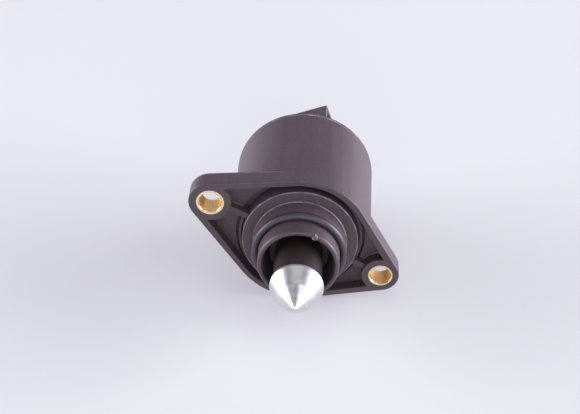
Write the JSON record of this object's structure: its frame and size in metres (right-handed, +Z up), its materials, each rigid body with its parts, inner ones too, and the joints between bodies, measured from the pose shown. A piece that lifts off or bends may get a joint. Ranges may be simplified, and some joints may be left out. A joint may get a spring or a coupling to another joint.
{
  "type": "idle air control valve",
  "caption": "Stepping-motor air valve: a moulded can with a hollowed two-ear flange, a sealed spigot and a cone-ended plunger that moves in and out, with a plug socket at the rear.",
  "frame": {"origin": "on the valve axis, in the plane of the flange's mounting face", "axes": "-Y along the valve axis towards the cone, +Z up as pictured, +X to the right; the ear line is turned 26 degrees about Y"},
  "size_m": [0.0534, 0.0759, 0.0364],
  "materials": {
    "black_plastic": "moulded black glass-filled plastic, satin",
    "dark_plastic": "moulded black plastic, smooth",
    "pale_plastic": "natural moulded plastic",
    "brass": "turned brass",
    "bronze": "sintered bronze",
    "tinned_brass": "tinned",
    "copper_wire": "enamelled copper winding",
    "rubber": "black rubber",
    "aluminium": "turned, bright",
    "steel": "ground",
    "plated_steel": "pressed sheet, plated",
    "ferrite": "sintered ferrite"
  },
  "bodies": {
    "housing": {"housing": "black_plastic", "rear_cover": "black_plastic", "left_bush": "brass", "right_bush": "brass", "o_ring": "rubber", "cover_seal": "rubber", "guide_bush": "dark_plastic", "thrust_washer": "steel", "return_spring": "steel", "bearing_outer_ring": "steel", "bearing_balls": "steel", "snap_ring": "steel", "end_washer": "steel", "rear_bush": "bronze", "front_stator_cup": "plated_steel", "front_pole_plate": "plated_steel", "rear_pole_plate": "plated_steel", "rear_stator_cup": "plated_steel", "front_bobbin": "pale_plastic", "rear_bobbin": "pale_plastic", "front_coil": "copper_wire", "rear_coil": "copper_wire", "terminal_1": "tinned_brass", "terminal_2": "tinned_brass", "terminal_3": "tinned_brass", "terminal_4": "tinned_brass"},
    "rotor": {"rotor_hub": "pale_plastic", "rotor_magnet": "ferrite", "bearing_inner_ring": "steel"},
    "pintle": {"plunger": "dark_plastic", "pintle_cone": "aluminium", "lead_screw": "steel"}
  },
  "joints": [
    {"name": "rotor_spin", "type": "hinge", "parent": "housing", "child": "rotor", "pos_m": [0, 0.02, 0], "axis": [0, 1, 0], "range_deg": [-2160, 720]},
    {"name": "pintle_slide", "type": "slide", "parent": "housing", "child": "pintle", "axis": [0, -1, 0], "range_m": [-0.006, 0.002], "deforming": ["return_spring"]}
  ],
  "couplings": [
    {"joint": "pintle_slide", "follows": "rotor_spin", "m_per_rad": 0.00015915}
  ]
}
